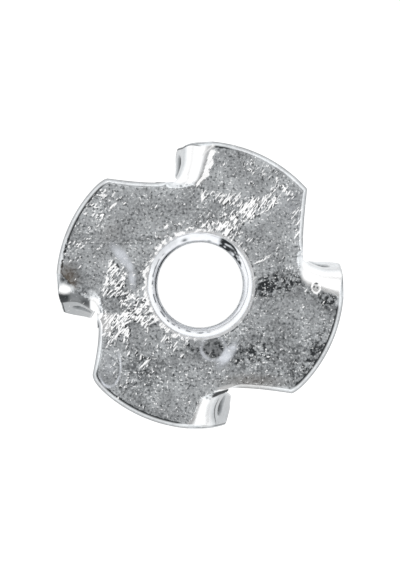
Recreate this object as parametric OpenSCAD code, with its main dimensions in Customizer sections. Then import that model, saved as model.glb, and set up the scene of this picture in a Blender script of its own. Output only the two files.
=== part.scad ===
// Four-prong tee nut for an M8 bolt, blanked, drawn and bent from one piece of sheet steel.
// It stands on the end of its barrel with the round flange on top and the prongs pointing
// down. Lengths are in millimetres, the axis of the bore is Z, and the barrel ends at z = 0.

/* [Flange] */
// Diameter of the round flange
flange_d = 22; // [21:0.5:24]
// Thickness of the sheet
sheet_t = 1.4; // [1.2:0.1:1.5]
// Rounding that blanking leaves along the upper edges
edge_r = 0.4; // [0.2:0.1:0.6]

/* [Barrel and bore] */
// Height from the end of the barrel to the upper face of the flange
height = 11; // [9:0.5:14]
// Outside diameter of the barrel
barrel_d = 9.6; // [9.2:0.1:10.2]
// Diameter of the bore, over the crests of its M8 thread
bore_d = 6.64; // [6.6:0.02:7.2]
// Radius of the drawn mouth, where the flange turns down into the bore
mouth_r = 0.85; // [0.5:0.05:1.1]
// Radius of the fillet between the underside of the flange and the barrel
root_r = 0.8; // [0.4:0.1:1.2]
// Chamfer on the outer edge of the barrel's end
end_chamfer = 0.3; // [0.1:0.1:0.5]

/* [Notches] */
// Distance from the axis to a notch's edge, in line with its prong
notch_r = 7.9; // [7.4:0.1:8.2]
// Angle at which a notch's edge runs outwards, away from its prong
notch_slope = 3.2; // [0:0.2:4]

/* [Prongs] */
// Reach of the prongs below the upper face of the flange
prong_len = 7.5; // [6:0.5:8.5]
// Outward lean of each prong from the vertical, anticlockwise from the one on the X axis
prong_leans = [7, 8, 11, 10]; // [0:1:15]
// Outside radius of the fold between the flange and a prong
fold_r = 1.7; // [1.6:0.1:2.2]
// Angle between the line of a fold and the radius that it lies near
fold_turn = 8; // [0:1:12]
// Distance from that radius to the start of the fold, on the side away from the notch
fold_back = 0.25; // [0.1:0.05:0.6]
// Distance from the axis to the tip of a prong, along the line of its fold
tip_r = 8.35; // [8.2:0.05:9]
// Width of the blunt tip
tip_w = 0.3; // [0.1:0.1:0.6]
// Share of a blade's length over which its outer edge runs straight down, before it tapers
shoulder = 0.5; // [0.3:0.05:0.7]
// How far the folded edge stands back from the rim
fold_set_back = 0.15; // [0.05:0.05:0.4]

/* [Dimples] */
// Diameter of the dimple in a prong's outer face
dimple_d = 1.4; // [0.8:0.1:1.8]
// Depth of the dimple
dimple_depth = 0.25; // [0.1:0.05:0.4]
// Distance from the end of the fold down to the middle of the dimple
dimple_drop = 2.2; // [1.2:0.1:2.4]

/* [Hidden] */
$fn = 96;

flange_r = flange_d / 2;
barrel_r = barrel_d / 2;
bore_r = bore_d / 2;
under_z = height - sheet_t;
margin = 1;                            // how far a cutting shape runs past what it cuts
far = 2 * flange_r;                    // well outside the rim

prong_pitch = 360 / len(prong_leans);
fold_mid_r = (notch_r + flange_r) / 2; // where fold_back is measured
fold_y = fold_mid_r * sin(fold_turn) - fold_back * cos(fold_turn);
land_w = 0.3;                          // flat sheet between the flange and the fold
land_y = fold_y - land_w;
joint = 0.15;                          // how far neighbouring forms of the sheet run together
notch_rise = tan(notch_slope);
// Where the edge of the land meets the notch's edge, measured along the fold
land_in = (notch_r + land_y * (cos(fold_turn) * notch_rise - sin(fold_turn)))
    / (cos(fold_turn) + sin(fold_turn) * notch_rise);
prong_in = land_in - joint;
coining = 0.02;                        // the blade is pressed this much thinner on each face
dimple_r = (pow(dimple_d / 2, 2) + pow(dimple_depth, 2)) / (2 * dimple_depth);
dimple_turn = 12;                      // the dimple faces a little outwards

// A point of the plan, given along and across the line of the fold
function on_fold(x, y) = [
    x * cos(fold_turn) + y * sin(fold_turn),
    y * cos(fold_turn) - x * sin(fold_turn)
];

// A point of a notch's edge, at the distance y from the prong's radius
function on_notch(y) = [notch_r + y * notch_rise, y];

// What rounding takes off a corner at the origin whose material lies at -x and -y
module corner_waste(r) {
    difference() {
        translate([-r, -r]) square(r + margin);
        translate([-r, -r]) circle(r);
    }
}

// What a fillet adds in a corner at the origin whose open side lies at +x and +y
module corner_fill(r) {
    difference() {
        square(r);
        translate([r, r]) circle(r);
    }
}

// Half section through the flange, the fillet, the barrel and the bore
module body_section() {
    difference() {
        union() {
            translate([0, under_z]) square([flange_r, sheet_t]);
            square([barrel_r, height]);
            translate([barrel_r, under_z]) mirror([0, 1]) corner_fill(root_r);
        }
        translate([-margin, -margin]) square([bore_r + margin, height + 2 * margin]);
        translate([bore_r, height]) mirror([1, 0]) corner_waste(mouth_r);
        translate([flange_r, height]) corner_waste(edge_r);
        translate([barrel_r, 0])
            polygon([[-end_chamfer, 0], [0, end_chamfer], [margin, end_chamfer], [margin, -margin],
                [-end_chamfer, -margin]]);
    }
}

// The piece that blanking frees beside one prong, from the flat land to the rim
module notch() {
    translate([0, 0, under_z - margin])
        linear_extrude(sheet_t + 2 * margin)
            polygon([on_fold(land_in, land_y), on_fold(far, land_y), [far, far], on_notch(far)]);
}

// What the rounding takes off the upper edge of a notch
module notch_rounding() {
    start = on_fold(land_in, fold_y + joint).y;
    translate([notch_r, 0, height])
        rotate([0, 0, -notch_slope])
            translate([0, far, 0])
                rotate([90, 0, 0])
                    linear_extrude(far - start) corner_waste(edge_r);
}

// Section of a prong across its fold: x runs from the start of the fold, y up from the flange's top
module prong_section(angle, reach) {
    translate([-land_w - joint, -sheet_t]) square([land_w + joint, sheet_t]);
    translate([0, -fold_r]) {
        intersection() {
            difference() {
                circle(fold_r);
                circle(fold_r - sheet_t);
            }
            polygon([[0, 0], [0, far], [far, far], far * [sin(angle), cos(angle)]]);
        }
        rotate(-angle)
            translate([-joint, fold_r - sheet_t + coining])
                square([reach + joint, sheet_t - 2 * coining]);
    }
}

// Outline of a blade: a straight inner edge, a blunt tip, and an outer edge that tapers past a
// shoulder. Above the shoulder the fold's own set-back from the rim gives the outer edge.
module blade_outline(reach) {
    inner_slope = (tip_r - prong_in) / reach;
    polygon([[prong_in - far * inner_slope, -far], [tip_r, reach], [tip_r + tip_w, reach],
        [flange_r, shoulder * reach], [flange_r, -far]]);
}

// Shallow round dimple a little way below the fold
module dimple() {
    translate([fold_mid_r - dimple_d / 4, dimple_drop, 0])
        rotate([0, dimple_turn, 0])
            translate([0, 0, dimple_r - dimple_depth]) sphere(dimple_r);
}

// Places its children as the flat blade lies after the fold: x runs along the fold,
// y down the blade from the fold's end, and z out of its outer face
module on_blade(angle) {
    translate([0, fold_y, height - fold_r])
        rotate([-angle, 0, 0])
            translate([0, 0, fold_r]) children();
}

// One prong on the X axis, folded down on its anticlockwise side and leaning outwards
module prong(lean) {
    angle = 90 - lean;
    reach = (prong_len - fold_r * (1 - cos(angle))) / sin(angle);
    rotate([0, 0, -fold_turn])
        difference() {
            intersection() {
                translate([prong_in, fold_y, height])
                    rotate([90, 0, 90])
                        linear_extrude(flange_r - prong_in) prong_section(angle, reach);
                on_blade(angle) translate([0, 0, -far]) linear_extrude(2 * far) blade_outline(reach);
                cylinder(h = height + margin, r = flange_r - fold_set_back);
            }
            on_blade(angle) dimple();
        }
}

// The whole nut in bright zinc-plated steel
module tee_nut() {
    color("#9a9da0") {
        difference() {
            rotate_extrude() body_section();
            for (i = [0 : len(prong_leans) - 1])
                rotate([0, 0, i * prong_pitch]) {
                    notch();
                    notch_rounding();
                }
        }
        for (i = [0 : len(prong_leans) - 1])
            rotate([0, 0, i * prong_pitch]) prong(prong_leans[i]);
    }
}

tee_nut();
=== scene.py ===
# %% [markdown]
# # A four-prong tee nut in zinc-plated steel
# A tee nut gives a wooden board a strong metal thread. Its barrel goes into a drilled hole, the
# prongs bite into the wood and keep it from turning, and a bolt pulls on it from the other side.
# This one is stamped from a single piece of sheet: a disc is cut out, a cup is drawn in its middle
# and tapped, and four prongs are cut free and folded down. It is then tumbled in a barrel of
# others while it is plated with zinc, which leaves it bright, blotchy and full of small scratches.
#
# The scene follows that order. The blank is laid out flat, marked, and folded by a function, and
# then it gets its plating, a floor, some light and a camera.

from types import SimpleNamespace

import bpy
import numpy as np
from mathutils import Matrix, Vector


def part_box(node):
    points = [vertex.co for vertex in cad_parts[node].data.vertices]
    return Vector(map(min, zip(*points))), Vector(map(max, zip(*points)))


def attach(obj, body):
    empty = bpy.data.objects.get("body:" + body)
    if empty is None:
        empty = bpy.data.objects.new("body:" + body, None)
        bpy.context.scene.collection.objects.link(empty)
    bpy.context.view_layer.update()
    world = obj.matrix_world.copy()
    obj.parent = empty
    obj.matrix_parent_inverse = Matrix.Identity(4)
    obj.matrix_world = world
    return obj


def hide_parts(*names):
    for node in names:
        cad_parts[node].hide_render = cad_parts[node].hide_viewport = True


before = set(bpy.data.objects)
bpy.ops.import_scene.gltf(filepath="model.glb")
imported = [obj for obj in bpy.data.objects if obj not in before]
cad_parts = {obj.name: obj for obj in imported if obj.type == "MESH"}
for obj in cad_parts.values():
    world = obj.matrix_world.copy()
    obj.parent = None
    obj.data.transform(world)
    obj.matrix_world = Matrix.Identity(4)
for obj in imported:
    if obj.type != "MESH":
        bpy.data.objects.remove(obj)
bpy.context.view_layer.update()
low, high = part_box("tee_nut")
print("solids:", sorted(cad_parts))
print("CAD box in mm:", [round(1000 * c, 2) for c in (*low, *high)])

# %% [markdown]
# ## Sizes
# Everything below is worked out in millimetres, with the bore's axis on Z, the end of the barrel at
# z = 0 and the flange on top. The thread is M8 with its standard pitch of 1.25 mm: its crests in a
# nut stand at a radius of 3.32 mm and its roots lie at 4 mm.

# %% Sizes of the sheet, the barrel and the thread
MM = 0.001
HEIGHT = high.z / MM
SHEET = 1.4
RIM_R = 10.99     # a hair inside the CAD's 11 mm, so that nothing stands past its box
BARREL_R = 4.8
FILLET_R = 0.8    # under the flange, where the barrel begins
MOUTH_R = 0.85    # where the flange turns down into the bore
CREST_R = 3.32
ROOT_R = 4.0
PITCH = 1.25
EDGE_R = 0.38     # the rounding along the upper edges
BURR_R = 0.08     # and along the lower ones
print("flange", 2 * RIM_R, "mm across,", round(HEIGHT, 2), "mm high")

# %% [markdown]
# ## Two soft functions
# Sheet metal has no kinks, so the shapes are joined with two soft functions. One eases from 0 to 1
# between two values, and the other is a ramp whose corner is rounded off. Given its two values the
# other way round, the easing falls from 1 to 0.


# %% Easing and a soft ramp
def ease(low, high, x):
    """0 below low, 1 above high, and 3t^2 - 2t^3 in between, so that it starts and ends level."""
    t = np.clip((x - low) / (high - low), 0, 1)
    return t * t * (3 - 2 * t)


def soft_ramp(x, softness):
    """max(x, 0) with its corner rounded: half of x plus the root of x^2 + softness^2."""
    return (x + np.sqrt(x * x + softness * softness)) / 2


print("ease at 0, 1/2, 1:", ease(0, 1, np.array([0.0, 0.5, 1.0])))
print("ramp at -1, 0, 1:", soft_ramp(np.array([-1.0, 0.0, 1.0]), 0.1).round(3))

# %% [markdown]
# ## The flat blank
# Before it is folded, the blank is a disc whose rim is broken by four notches. One could model it
# from a cylinder and cut the notches with booleans, but then the mesh has no order to it. Here the
# columns of the mesh run straight out from the axis, and the outline is simply a distance from the
# axis for each column. A quarter of it has three runs: the line where the prong leaves the disc,
# the edge of the notch beside it, and the rim up to the next prong.
#
# In a quarter's own frame `q` runs out along the prong and `p` runs across it, towards the notch.

# %% Columns of a quarter of the outline
WELD = 38      # along the line where the prong leaves the disc
NOTCH = 52     # along the notch's edge
RIM = 86       # along the rim, up to the next prong
QUARTER = WELD + NOTCH + RIM
SLIT_Q = 7.9   # the slit that frees the prong starts here
SLIT_P = 2.15
RIM_END = np.radians(-5.0)    # the rim ends here, at the prong's other side
slit_turn = np.arctan2(SLIT_P, SLIT_Q)
print("columns round the blank:", 4 * QUARTER)

# %% The four notches, a little unlike as the punch left them
NOTCHES = [  # how far out the edge lies at its middle and at its corner, and the corner's angle
    (7.90, 8.20, 42.4),
    (7.84, 8.14, 41.1),
    (7.76, 8.20, 39.9),
    (7.92, 8.27, 40.4),
]
CORNER_SOFT = 0.02    # how softly a notch's edge meets the rim
CORNER_FADE = 0.04    # angle over which the rim comes back to its full radius
STEEPEST = 1.4        # an inset is lengthened by no more than this where the edge runs steeply
print("corners at:", [corner for _, _, corner in NOTCHES], "degrees")


# %% Turning points about the axis
def rotate(points, angle):
    """Turns points about Z: x' = x cos a - y sin a, y' = x sin a + y cos a. Depths stay."""
    c, s = np.cos(angle), np.sin(angle)
    x, y = points[..., 0], points[..., 1]
    return np.stack([c * x - s * y, s * x + c * y, *np.moveaxis(points[..., 2:], -1, 0)], -1)


print("a quarter turn takes X to:", rotate(np.array([1.0, 0.0]), np.pi / 2).round(6))


# %% Outline of the blank, stood back from its edge by any distance
def quarter_outline(inset, k):
    """Points of a quarter's outline. The notch's edge is a parabola through its slit, middle and
    corner, and past the corner the rim comes back to its full radius as an exponential does. Each
    column stops short of the edge by the inset, measured square to it, and the line where the
    prong leaves runs straight."""
    middle, outer, corner = NOTCHES[k]
    corner = np.radians(corner)
    turn = np.concatenate([
        np.linspace(slit_turn, corner, NOTCH, endpoint=False),
        np.linspace(corner, np.pi / 2 + RIM_END, RIM + 1),
    ])
    t = (turn - slit_turn) / (corner - slit_turn)
    bow = 2 * (SLIT_Q + outer - 2 * middle)
    notch_q = SLIT_Q + t * (outer - SLIT_Q) + bow * t * (t - 1)
    notch_r = notch_q / np.cos(np.minimum(turn, corner))
    short = np.maximum(RIM_R - outer / np.cos(corner), 0)
    rim_r = RIM_R - short * np.exp(-np.maximum(turn - corner, 0) / CORNER_FADE)
    r = rim_r - soft_ramp(rim_r - notch_r, CORNER_SOFT) * (t < 1)
    lengthen = np.sqrt(1 + (np.gradient(r, turn) / r) ** 2)
    r = r - inset * np.minimum(lengthen, STEEPEST) * ease(0.0, 0.13, turn - slit_turn)
    edge = np.stack([r * np.cos(turn), r * np.sin(turn)], -1)
    rim_end = (RIM_R - inset) * np.array([np.cos(RIM_END), np.sin(RIM_END)])
    weld = np.linspace(0, 1, WELD, endpoint=False)[:, None]
    return np.concatenate([rim_end + weld * (edge[0] - rim_end), edge[:-1]])


def whole_outline(inset):
    """The four quarters, each turned to its place."""
    return np.concatenate([rotate(quarter_outline(inset, k), k * np.pi / 2) for k in range(4)])


full = whole_outline(0.0)
print("largest radius of the blank:", round(np.hypot(*full.T).max(), 3), "mm")

# %% [markdown]
# ## Folding
# The real prong is cut along a slit and pushed down by a punch. The fold isn't quite in line with
# the radius, its start is soft, and where the slit begins the punch drags the flange down with the
# prong into a small dish. A function can do all of that to flat points: each slice across the prong
# is wound round an arc and then runs on straight. A grip between 0 and 1 says how much a point
# takes part, and it fades out over the dish. Each prong leans by its own amount, as on a real nut.
#
# - `start`, `slant`: where the fold begins at the slit, and how much earlier per mm further out
# - `crease`, `skew`, `flare`: where its outside ends, and how much later near the axis and the rim
# - `lean`: degrees from the vertical, near the axis and at the rim
# - `tip`: how far out the two corners of the tip lie
# - `dish`, `torn`: where the dish fades in, and how much further in it reaches beside the slit
# - `stand_back`, `pull`: how far the outer edge lies inside the rim, and how much more as it bends
# - `dimple`: distance from the axis, drop below the fold, half length, half width and tilt

# %% The four prongs, anticlockwise from the one on the X axis
PRONGS = [
    SimpleNamespace(start=0.08, slant=0.38, crease=1.25, skew=0.45, flare=0.05, lean=(3.0, 7.5),
                    tip=(8.4, 8.8), dish=(7.35, 8.4), torn=0.0, stand_back=0.05, pull=0.02,
                    dimple=(9.20, 2.4, 1.45, 0.60, 66)),
    SimpleNamespace(start=-0.20, slant=0.28, crease=1.30, skew=0.40, flare=0.0, lean=(3.5, 9.0),
                    tip=(8.3, 8.6), dish=(7.35, 8.4), torn=0.0, stand_back=0.10, pull=0.20,
                    dimple=(9.05, 2.5, 1.50, 0.80, 66)),
    SimpleNamespace(start=0.20, slant=0.30, crease=1.30, skew=0.62, flare=0.10, lean=(8.0, 13.0),
                    tip=(8.4, 8.8), dish=(7.35, 8.4), torn=0.0, stand_back=0.12, pull=0.12,
                    dimple=(9.08, 2.0, 0.85, 0.60, 45)),
    SimpleNamespace(start=0.30, slant=0.45, crease=1.16, skew=0.55, flare=0.12, lean=(8.5, 13.0),
                    tip=(8.5, 9.1), dish=(8.3, 8.75), torn=0.3, stand_back=0.03, pull=0.0,
                    dimple=(9.25, 2.0, 1.20, 0.60, 60)),
]
print("leans at the rim:", [prong.lean[1] for prong in PRONGS], "degrees")


# %% The fold, slice by slice
SKEW_FROM = 9.3              # nearer the axis than this, the crease runs off at the skew
FLARE_OVER = (9.8, 10.7)     # where it flares towards the rim
TWIST_OVER = (8.2, 10.2)     # where the lean changes from the one near the axis to the rim's
BEND_SOFT, CREASE_SOFT = 0.5, 0.12    # how softly the sheet goes into the arc and out of it


def fold_shape(q, prong):
    """Start, radius, length along the arc and final angle of the fold in the slice at q. The arc
    spans the width from the start to the crease, so its radius is that width over the sine."""
    start = prong.start - prong.slant * (q - SLIT_Q)
    crease = prong.crease + prong.skew * soft_ramp(SKEW_FROM - q, 0.3)
    crease = crease + prong.flare * ease(*FLARE_OVER, q)
    lean = prong.lean[0] + (prong.lean[1] - prong.lean[0]) * ease(*TWIST_OVER, q)
    angle = np.pi / 2 - np.radians(lean)
    radius = (crease - start) / np.sin(angle)
    return start, radius, radius * angle, angle


def fold(q, p, prong, grip):
    """Winds flat points round the fold: up to the arc's end the sheet turns by its length over
    the radius, and past it runs straight. Grip scales the move away from the flat place."""
    start, radius, arc, angle = fold_shape(q, prong)
    run = soft_ramp(p - start, BEND_SOFT)
    wound = run - soft_ramp(run - arc, CREASE_SOFT)
    rest = run - wound
    held = grip(q, p, prong)
    across = radius * np.sin(wound / radius) - wound + rest * (np.cos(angle) - 1)
    down = radius * (1 - np.cos(wound / radius)) + rest * np.sin(angle)
    return np.stack([q, p + held * across, -held * down], -1)


print("fold radius at the rim, mm:", [round(float(fold_shape(10.5, p)[1]), 2) for p in PRONGS])


# %% How much of the fold the flange and the prongs take
SLIT_FADE = (SLIT_P, SLIT_P + 0.5)    # past the start of the slit, the two part company


def dish_grip(q, p, prong):
    """Grip round the root of a slit: it grows across the dish, which may reach further in beside
    the slit than it does away from it."""
    return ease(*prong.dish, q + prong.torn * ease(0.7, 1.5, p))


def flange_grip(q, p, prong):
    """Grip in the flange: none inside the dish, and none beyond the start of the slit."""
    return dish_grip(q, p, prong) * (1 - ease(*SLIT_FADE, p))


def prong_grip(q, p, prong):
    """Grip in a prong: the flange's as far as the slit, and then full."""
    shared = dish_grip(q, p, prong)
    return shared + (1 - shared) * ease(*SLIT_FADE, p)


print("grip halfway out over the dish:", round(float(flange_grip(7.9, 0.0, PRONGS[0])), 2))


# %% Putting a point of the sheet's thickness in its folded place
STEP = 1e-3    # mm either way, for the slope of the sheet


def press(flat, prong, grip):
    """Puts points (q, p, depth) on the folded sheet. The depth is measured from the top face,
    square to it in the slice, so the sheet keeps its thickness round the fold."""
    q, p, depth = np.moveaxis(flat, -1, 0)
    top = fold(q, p, prong, grip)
    run = fold(q, p + STEP, prong, grip) - fold(q, p - STEP, prong, grip)
    run /= np.linalg.norm(run, axis=-1, keepdims=True)
    top[..., 1] += run[..., 2] * depth
    top[..., 2] += HEIGHT - run[..., 1] * depth
    return top


well_down = press(np.array([[9.5, 6.0, 0.0]]), PRONGS[0], prong_grip)
print("a point 6 mm out on the flat prong is folded to:", well_down.round(2))

# %% [markdown]
# ## Gathering a mesh
# The blank has a profile that goes out over the top face, down over the edge, back in under the
# flange, down the barrel and up the bore. Carried round the axis it is a grid of vertices that
# closes on itself both ways. A small net keeps the vertices in rings, and joins two rings with
# four-sided faces. Near the axis a ring needs fewer vertices, so another call joins a ring to one
# with half as many.


# %% A net of rings
class Net:
    """Points and faces, gathered as arrays. A ring is an array of vertex numbers."""

    def __init__(self):
        self.points = []
        self.quads = []
        self.triangles = []
        self.count = 0

    def add(self, points):
        """Keeps the points and returns their numbers in the same layout."""
        shape = points.shape[:-1]
        numbers = self.count + np.arange(np.prod(shape)).reshape(shape)
        self.points.append(points.reshape(-1, 3))
        self.count += numbers.size
        return numbers

    def grid(self, rows, closed=True):
        """Four-sided faces between neighbouring rows: a, the one beside it in the next row, the
        next along, and back. Closed rows go on from their last vertex to their first."""
        if closed:
            rows = np.concatenate([rows, rows[:, :1]], 1)
        corners = rows[:-1, :-1], rows[1:, :-1], rows[1:, 1:], rows[:-1, 1:]
        self.quads.append(np.stack(corners, -1).reshape(-1, 4))

    def halve(self, first, second):
        """Joins closed rings of which one has twice the vertices of the other, three triangles
        to each vertex of the shorter ring."""
        wide, narrow = (first, second) if first.size > second.size else (second, first)
        w0, w1, w2 = wide[::2], wide[1::2], np.roll(wide[::2], -1)
        n0, n1 = narrow, np.roll(narrow, -1)
        faces = np.stack([w0, n0, w1, w1, n0, n1, w1, n1, w2], -1).reshape(-1, 3)
        self.triangles.append(faces if wide is first else faces[:, ::-1])


net = Net()
print("vertices so far:", net.count)

# %% [markdown]
# ## The edge
# Blanking leaves an edge that is rounded on the punch's side, where the metal was drawn in before
# it broke, and almost sharp on the other. The same profile serves the rim, the notches and the
# sides of the prongs. It is a list of distances in from the edge, as shares of its rounding, and
# of depths below the top face.

# %% Profile of the edge
roll = np.radians(np.linspace(15, 90, 6))
edge_in = np.concatenate([1 - np.sin(roll), [0.0, 0.3 * BURR_R / EDGE_R]])
edge_deep = np.concatenate([EDGE_R * (1 - np.cos(roll)), [SHEET - BURR_R, SHEET - 0.3 * BURR_R]])
print("points down the edge:", edge_in.size)

# %% [markdown]
# ## The disc
# The top face starts at the mouth of the bore as a circle and ends as the outline, and each ring
# between the two is a blend of them. The underside does the same from the barrel's fillet. Both
# could be one big face each, but the marks of the plating are kept on the vertices, so the top
# face needs many.


# %% Circles and flat places
def circle(radius, columns=1):
    """Points of a circle, radius times cosine and sine, on every column or every so many."""
    a = angles[::columns]
    return np.stack([radius * np.cos(a), radius * np.sin(a)], -1)


def flat(plan, depth):
    """Adds a depth to points of the plan."""
    return np.concatenate([plan, np.broadcast_to(depth, plan.shape[:-1])[..., None]], -1)


angles = np.arctan2(full[:, 1], full[:, 0])
print("first columns at:", np.degrees(angles[:3]).round(2), "degrees")

# %% Top face, from the mouth of the bore out to the rounded edge
RINGS = 66            # round the top face
INNER = 22            # of them have only every second column
MOUTH_OUT = CREST_R + MOUTH_R
top_edge = whole_outline(EDGE_R)
share = np.linspace(0, 1, RINGS + 1)[1:, None, None]
inner = circle(MOUTH_OUT, 2) + share[:INNER] * (top_edge[::2] - circle(MOUTH_OUT, 2))
outer = circle(MOUTH_OUT) + share[INNER:] * (top_edge - circle(MOUTH_OUT))
inner_rings = net.add(flat(inner, 0.0))
outer_rings = net.add(flat(outer, 0.0))
net.grid(inner_rings)
net.halve(inner_rings[-1], outer_rings[0])
net.grid(outer_rings)
top_ring = outer_rings[-1]
print("top face:", inner_rings.size + outer_rings.size, "vertices")

# %% Underside, from the edge in to the fillet
UNDER_RINGS = 8
bottom_edge = whole_outline(BURR_R)
root = FILLET_R + BARREL_R
under_share = np.linspace(1, 0, UNDER_RINGS + 1)[:-1, None, None] ** 0.9
under = net.add(flat(circle(root) + under_share * (bottom_edge - circle(root)), SHEET))
net.grid(under)
bottom_ring = under[0]
print("underside:", under.size, "vertices")

# %% [markdown]
# ## The barrel
# The cup is drawn out of the same sheet, so it grows out of the underside in a fillet. A list of
# radii and depths makes the fillet, the straight side, the small bevel at its end and the flat
# ring of the end itself. It is carried round on every fourth column.

# %% Fillet, side, bevel and end
END_BEVEL = 0.3
BARREL_END = np.array([  # how far in from the barrel's side, and how far above its end
    (0.0, 1.5),
    (0.0, END_BEVEL + 0.05),
    (0.03, END_BEVEL - 0.02),
    (END_BEVEL - 0.03, 0.02),
    (END_BEVEL + 0.04, 0.0),
    (0.6, 0.0),
])
quarter_turn = np.radians(np.linspace(0, 90, 6))
fillet_r = root - FILLET_R * np.sin(quarter_turn)
fillet_d = SHEET + FILLET_R * (1 - np.cos(quarter_turn))
barrel_r = np.concatenate([fillet_r, BARREL_R - BARREL_END[:, 0]])
barrel_d = np.concatenate([fillet_d, HEIGHT - BARREL_END[:, 1]])
step_ring = net.add(flat(circle(root + 0.15, 2), SHEET))
net.halve(under[-1], step_ring)
barrel = net.add(flat(barrel_r[:, None, None] * circle(1.0, 4), barrel_d[:, None]))
net.halve(step_ring, barrel[0])
net.grid(barrel)
print("barrel:", barrel.size, "vertices")

# %% [markdown]
# ## The thread
# A tap leaves a helical groove with flanks at 60 degrees to each other. One could sweep a profile
# along a helix, but then its ends have to be joined to the mouth and to the barrel's end. Here the
# bore is a surface of radii over the angle and the depth: at each vertex the radius is the larger
# of the untapped bore's and the groove's. The groove runs out into the mouth by itself, as it does
# where a tap enters.


# %% Bore with its thread
ENTRY = 0.12                 # share of a turn at which the groove comes in
HALF_ROOT = PITCH / 16       # half the width of its flat root
FLANK = np.sqrt(3)           # the tangent of 60 degrees


def groove_radius(angle, depth):
    """Radius of the tapped groove: its middle goes down one pitch for each turn, and away from it
    the radius falls by the flank's slope times the distance, past a small flat root."""
    phase = np.mod(depth / PITCH + angle / (2 * np.pi) + ENTRY, 1.0)
    away = np.abs(phase - 0.5) * PITCH
    return ROOT_R - np.maximum(away - HALF_ROOT, 0) * FLANK


def bore_rings(depth, plain, columns):
    """Rings of the bore at the given depths: the larger of the plain radius and the groove's."""
    radius = np.maximum(plain[:, None], groove_radius(angles[::columns], depth[:, None]))
    return net.add(flat(radius[..., None] * circle(1.0, columns), depth[:, None]))


BORE_RINGS = 84
END_CONE = 0.35       # how far up the bore widens at its lower end
bore_depth = np.linspace(HEIGHT, MOUTH_R, BORE_RINGS)
bore = bore_rings(bore_depth, CREST_R + np.maximum(bore_depth - (HEIGHT - END_CONE), 0), 4)
net.grid(np.concatenate([barrel[-1:], bore]))
print("bore:", bore.size, "vertices,", round(HEIGHT / PITCH, 1), "turns")

# %% Mouth of the bore, a quarter round from the thread up to the top face
MOUTH_RINGS = 21
mouth_turn = np.radians(np.linspace(0, 90, MOUTH_RINGS + 1))[1:]
mouth_depth = MOUTH_R * (1 - np.sin(mouth_turn))
mouth = bore_rings(mouth_depth, CREST_R + MOUTH_R * (1 - np.cos(mouth_turn)), 2)
net.halve(bore[-1], mouth[0])
net.grid(np.concatenate([mouth, inner_rings[:1]]))
print("mouth:", mouth.size, "vertices")

# %% Edge of the rim and the notches, from the top face's last ring to the underside's first
edge_columns = np.arange(WELD, QUARTER + 1)
edges = []
for k in range(4):
    columns = (k * QUARTER + edge_columns) % (4 * QUARTER)
    inward = top_edge[columns] - full[columns]
    plan = full[columns] + edge_in[:, None, None] * inward
    rows = net.add(flat(plan, edge_deep[:, None]))
    net.grid(np.concatenate([top_ring[None, columns], rows, bottom_ring[None, columns]]), False)
    edges.append(rows)
print("edge:", sum(e.size for e in edges), "vertices")

# %% [markdown]
# ## The prongs
# A prong is a closed section carried along it: across the outer face, down one side, back across
# the inner face and up the other side. Its first section is made of vertices that the flange
# already has, so the prong and the flange are one skin. It is laid out flat first, a tongue that
# is wide at the fold and narrow at the tip, and the fold then takes it down.

# %% Where the sections lie, as shares of the prong's length: closer near the fold and the tip
REACH = 7.5        # how far the tips lie below the flange's top
SHOULDER = 0.5     # share of the blade that stays wide before it tapers
LENGTHS = np.concatenate([
    np.linspace(0, 0.42, 31)[1:],
    np.linspace(0.42, 0.68, 20)[1:],
    np.linspace(0.68, 0.985, 12)[1:],
    [0.995, 1.0],
])
print("sections along a prong:", LENGTHS.size)


# %% Outline of a flat prong
NEAR_RIM = 10.6              # the slice whose fold the outer side follows
LEAVES_RIM = (-0.96, 0.2)    # over this stretch, the outer side moves in from the rim
SHOULDER_SOFT = 0.02


def prong_sides(prong):
    """Two sides of the flat prong, from the fold to the tip. The inner one is straight. The outer
    one stands under the rim's curve, at the root of its radius squared less the distance across
    squared, as far as a shoulder, and from there tapers to the tip."""
    start, radius, arc, angle = fold_shape(np.mean(prong.tip), prong)
    tip_p = start + arc + (REACH - radius * (1 - np.cos(angle))) / np.sin(angle)
    rim_p = RIM_R * np.sin(RIM_END)
    inner_p = SLIT_P + LENGTHS * (tip_p - SLIT_P)
    inner_q = SLIT_Q + (prong.tip[0] - SLIT_Q) * LENGTHS
    outer_p = rim_p + LENGTHS * (tip_p - rim_p)
    start, radius, arc, angle = fold_shape(NEAR_RIM, prong)
    bend_end = start + arc
    t = np.clip((outer_p - bend_end) / (tip_p - bend_end), 0, 1)
    across = fold(np.full_like(outer_p, NEAR_RIM), outer_p, prong, prong_grip)[:, 1]
    rim_q = np.sqrt(RIM_R ** 2 - across ** 2)
    rim_q -= prong.stand_back * ease(*LEAVES_RIM, outer_p)
    rim_q -= prong.pull * ease(0.3, bend_end + 0.6, outer_p)
    taper = soft_ramp(t - SHOULDER, SHOULDER_SOFT) / (1 - SHOULDER)
    outer_q = rim_q + (prong.tip[1] - rim_q) * taper
    return inner_q, inner_p, outer_q, outer_p


print("flat length of the first prong:", round(float(prong_sides(PRONGS[0])[1][-1]), 2), "mm")


# %% Faces and sides of a flat prong
THINNED = 0.12    # share of its thickness that the tip loses


def blade_face(sides, inset_out, inset_in, deep):
    """Rows across a face at one depth, straight from the outer side to the inner one, each stood
    back by its inset."""
    inner_q, inner_p, outer_q, outer_p = sides
    t = np.linspace(0, 1, WELD + 1)
    q0, q1 = outer_q - inset_out, inner_q + inset_in
    q = q0[:, None] + t * (q1 - q0)[:, None]
    p = outer_p[:, None] + t * (inner_p - outer_p)[:, None]
    return np.stack([q, p, np.broadcast_to(deep, q.shape)], -1)


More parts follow.
